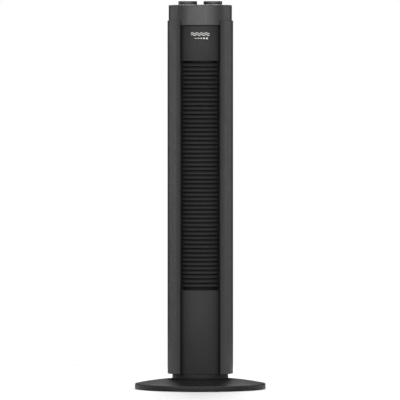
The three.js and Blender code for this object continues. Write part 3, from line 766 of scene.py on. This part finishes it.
def swing_button():
    collar_r, stem_r, collar_z = 8.5, 3, 765
    profile = [
        (0, collar_z - 6), (stem_r, collar_z - 6), (stem_r, collar_z), (collar_r, collar_z),
        (collar_r, collar_z + 1.8), (BUTTON_R, collar_z + 1.8),
        *arc_points(BUTTON_R - 0.9, BUTTON_TOP - 1.1, 0.9, 0, 80, 5),
        (BUTTON_R - 2.4, BUTTON_TOP - 0.1), (0, BUTTON_TOP),
    ]
    obj = solid("swing_button", lathe(profile, 64, 0, BUTTON_Y, closed=False))
    finish_piece(apply_modifiers(obj, sharp=40), "knob_plastic", "button", "oscillation_button")


for name, x in (("speed", KNOB_X), ("timer", -KNOB_X)):
    for make in (dial_cap, finger_bar, pointer):
        make(name, name + "_dial", x)
swing_button()


# ---- printed marks ----
MARK_R = 20


def tick(x, y, angle, r0, r1, half_w):
    """A short line on the cap's top, pointing away from x, y. The angle is clockwise from the front."""
    ux, uy = -math.sin(angle), -math.cos(angle)
    vx, vy = -uy, ux
    corners = [(x + ux * r + vx * w, y + uy * r + vy * w) for r, w in
               ((r0, -half_w), (r1, -half_w), (r1, half_w), (r0, half_w))]
    return prism(corners, CAP_TOP_Z - 0.05, CAP_TOP_Z + 0.06)


def numeral(text, x, y, size):
    """A number standing on the cap's top, as vertices and faces."""
    curve = bpy.data.curves.new("numeral", "FONT")
    curve.body = text
    curve.size = size * MM
    curve.align_x = "CENTER"
    curve.align_y = "CENTER"
    curve.extrude = 0.05 * MM
    obj = bpy.data.objects.new("numeral", curve)
    bpy.context.scene.collection.objects.link(obj)
    mesh = bpy.data.meshes.new_from_object(obj.evaluated_get(bpy.context.evaluated_depsgraph_get()))
    verts = [((v.co.x / MM) + x, (v.co.y / MM) + y, CAP_TOP_Z + v.co.z / MM + 0.02) for v in mesh.vertices]
    faces = [tuple(p.vertices) for p in mesh.polygons]
    bpy.data.objects.remove(obj)
    bpy.data.curves.remove(curve)
    bpy.data.meshes.remove(mesh)
    return verts, faces


def speed_marks():
    """Four numbered positions, 45 degrees apart."""
    marks = []
    number_r = 24.6
    for i in range(4):
        angle = math.radians(45 * i)
        marks.append(tick(KNOB_X, KNOB_Y, angle, MARK_R, MARK_R + 2, 0.35))
        x, y = KNOB_X - number_r * math.sin(angle), KNOB_Y - number_r * math.cos(angle)
        marks.append(numeral(str(i), x, y, 4))
    return marks


def timer_marks():
    """Eleven ticks, 30 degrees apart, with a long numbered one at each fifth."""
    marks = []
    for i in range(11):
        length, half_w = (2.4, 0.35) if i % 5 == 0 else (1.2, 0.22)
        marks.append(tick(-KNOB_X, KNOB_Y, math.radians(30 * i), MARK_R, MARK_R + length, half_w))
    for i, text, r in ((0, "0", 25), (5, "60", 25.4), (10, "120", 27.4)):
        angle = math.radians(30 * i)
        marks.append(numeral(text, -KNOB_X - r * math.sin(angle), KNOB_Y - r * math.cos(angle), 3.6))
    return marks


def dial_marks():
    obj = solid("dial_marks", merge(*speed_marks(), *timer_marks()))
    finish_piece(apply_modifiers(obj), "shell_plastic", "tower", material=PRINT)


def band(points, half_h):
    """A flat line along points of (x, z) on the front panel's face."""
    half_t = 0.05
    section = ((-half_t, -half_h), (half_t, -half_h), (half_t, half_h), (-half_t, half_h))
    return skin([[(*around(math.asin(x / PANEL_R), PANEL_R + out), z + up) for out, up in section]
                 for x, z in points])


def airflow_mark():
    """A plain sign for moving air, printed on the front panel: two waves over a row of growing bars."""
    wave_half_w, wave_len, wave_h, wave_z, wave_gap, wave_line = 18.5, 9.25, 1.3, 713.0, 1.8, 0.7
    parts = []
    for shift in (-wave_gap, wave_gap):
        points = [(x, wave_z + shift + wave_h * math.sin(x * TURN / wave_len))
                  for x in spread(-wave_half_w, wave_half_w, 96)]
        parts.append(band(points, wave_line))
    bars, bar_pitch, bar_half_w, bar_z, bar_x = 5, 5.6, 1.7, 704.6, 2.0
    for i in range(bars):
        mid = (i - (bars - 1) / 2) * bar_pitch + bar_x
        points = [(x, bar_z) for x in (mid - bar_half_w, mid, mid + bar_half_w)]
        parts.append(band(points, 0.6 + 0.25 * i))
    obj = solid("airflow_sign", merge(*parts))
    finish_piece(apply_modifiers(obj), "panel_plastic", "tower", material=PRINT)


dial_marks()
airflow_mark()


# ---- fan wheel ----
BLADES, BLADE_SEGMENTS, DISC_T = 36, 3, 3
# A blade's thickness, as an angle about the wheel's axis.
BLADE_TURN = 0.022


def wheel_disc(k, z):
    """A disc of the wheel: round the hub at the bottom, round the axle at the top, open rings between."""
    if k == 0:
        bore, z0 = 12.4, z
    elif k == BLADE_SEGMENTS:
        bore, z0 = 3.35, z - DISC_T
    else:
        bore, z0 = WHEEL_IN_R - 1, z - DISC_T / 2
    ring = [(bore, z0), (WHEEL_R - 0.5, z0), (WHEEL_R - 0.05, z0 + 0.4), (WHEEL_R - 0.05, z0 + DISC_T - 0.4),
            (WHEEL_R - 0.5, z0 + DISC_T), (bore, z0 + DISC_T)]
    return lathe(ring, 72, 0, WHEEL_Y)


def blade(turn, z0, z1):
    """A curved blade between two discs."""
    reach = WHEEL_R - 0.9 - WHEEL_IN_R
    line = [(WHEEL_IN_R + reach * t, turn + 0.26 * t * t - 0.05 * t) for t in spread(0, 1, 5)]

    def plan(back):
        return [(r * math.cos(a - back), WHEEL_Y + r * math.sin(a - back)) for r, a in line]

    return prism([*plan(0), *reversed(plan(BLADE_TURN))], z0 + 1, z1 - 1)


def fan_wheel():
    rows = spread(WHEEL_Z0, WHEEL_Z1, BLADE_SEGMENTS)
    parts = [wheel_disc(k, z) for k, z in enumerate(rows)]
    for k in range(BLADE_SEGMENTS):
        for b in range(BLADES):
            parts.append(blade(TURN * (b + 0.33 * k) / BLADES, rows[k], rows[k + 1]))
    obj = solid("fan_wheel_blades", merge(*parts))
    finish_piece(apply_modifiers(obj, sharp=40), "wheel_plastic", "wheel", "impeller")


fan_wheel()


# ---- studio, in metres ----
FLOOR_R, FLOOR_Z, FLOOR_SIDES = 1.0, -0.0001, 96
FLOOR_LIT, FLOOR_SEEN = 0.45, 0.7
ROOM_LIT, ROOM_SEEN = 0.07, 1.0
# Softboxes in a ring about the object: angle from the front, and power, the same on both sides.
RING = ((0, 12.6), (20, 11.8), (40, 9.8), (60, 3.9), (80, 0.8), (100, 5.4), (125, 3.5))
RING_R, RING_Z, RING_AIM = 2.2, 0.9, (0, 0, 0.42)
RING_BOX_W, RING_BOX_H = 0.5, 1.8
CAMERA_PLACE, CAMERA_AIM = (-0.0006, -10.8, 0.56), (-0.0006, 0, 0.380)


def floor_material():
    """Pale paper, exposed for white in the picture, which lights the object a little less than it shows."""
    mat = bpy.data.materials.new("pale_floor")
    mat.use_nodes = True
    nodes, links = mat.node_tree.nodes, mat.node_tree.links
    nodes.clear()
    path = nodes.new("ShaderNodeLightPath")
    seen = nodes.new("ShaderNodeMapRange")
    seen.inputs["To Min"].default_value = FLOOR_LIT
    seen.inputs["To Max"].default_value = FLOOR_SEEN
    paper = nodes.new("ShaderNodeBsdfDiffuse")
    output = nodes.new("ShaderNodeOutputMaterial")
    links.new(path.outputs["Is Camera Ray"], seen.inputs["Value"])
    links.new(seen.outputs["Result"], paper.inputs["Color"])
    links.new(paper.outputs["BSDF"], output.inputs["Surface"])
    return mat


def paper_floor():
    mesh = bpy.data.meshes.new("floor")
    edge = [around(a, FLOOR_R) for a in spread(math.pi / 2, math.pi / 2 + TURN, FLOOR_SIDES)[:-1]]
    mesh.from_pydata([(x, y, FLOOR_Z) for x, y in edge], [], [tuple(range(FLOOR_SIDES))])
    mesh.materials.append(floor_material())
    obj = bpy.data.objects.new("floor", mesh)
    bpy.context.scene.collection.objects.link(obj)


def look_at(obj, place, aim):
    """Puts a light or a camera in its place, pointing at aim."""
    obj.location = place
    obj.rotation_mode = "QUATERNION"
    obj.rotation_quaternion = (Vector(aim) - Vector(place)).to_track_quat("-Z", "Y")
    bpy.context.scene.collection.objects.link(obj)


def softbox(name, place, aim, width, height, power):
    light = bpy.data.lights.new(name, "AREA")
    light.shape = "RECTANGLE"
    light.size, light.size_y = width, height
    light.energy = power
    look_at(bpy.data.objects.new(name, light), place, aim)


def room():
    """A white backdrop for the camera, which gives the object only a faint light."""
    world = bpy.data.worlds.new("studio")
    bpy.context.scene.world = world
    world.use_nodes = True
    nodes, links = world.node_tree.nodes, world.node_tree.links
    nodes.clear()
    path = nodes.new("ShaderNodeLightPath")
    mix = nodes.new("ShaderNodeMixShader")
    output = nodes.new("ShaderNodeOutputWorld")
    links.new(path.outputs["Is Camera Ray"], mix.inputs["Fac"])
    for socket, strength in ((1, ROOM_LIT), (2, ROOM_SEEN)):
        background = nodes.new("ShaderNodeBackground")
        background.inputs["Color"].default_value = (1, 1, 1, 1)
        background.inputs["Strength"].default_value = strength
        links.new(background.outputs["Background"], mix.inputs[socket])
    links.new(mix.outputs["Shader"], output.inputs["Surface"])


def camera():
    lens = bpy.data.cameras.new("camera")
    lens.sensor_width = 36
    lens.lens = 483
    lens.clip_start, lens.clip_end = 0.5, 60
    obj = bpy.data.objects.new("camera", lens)
    look_at(obj, CAMERA_PLACE, CAMERA_AIM)
    bpy.context.scene.camera = obj


paper_floor()
for angle, power in RING:
    for side in ((1, -1) if angle else (1,)):
        x, y = around(math.radians(side * angle), RING_R)
        softbox(f"softbox_{side * angle}", (x, y, RING_Z), RING_AIM, RING_BOX_W, RING_BOX_H, power)
softbox("top_light", (0, 0, 3.0), (0, 0, 0), 2.5, 2.5, 60)
softbox("rear_light", (0, 1.6, 2.2), (0, 0, 0), 0.9, 1.2, 52)
room()
camera()
bpy.context.scene.view_settings.view_transform = "Standard"
bpy.context.scene.view_settings.look = "None"
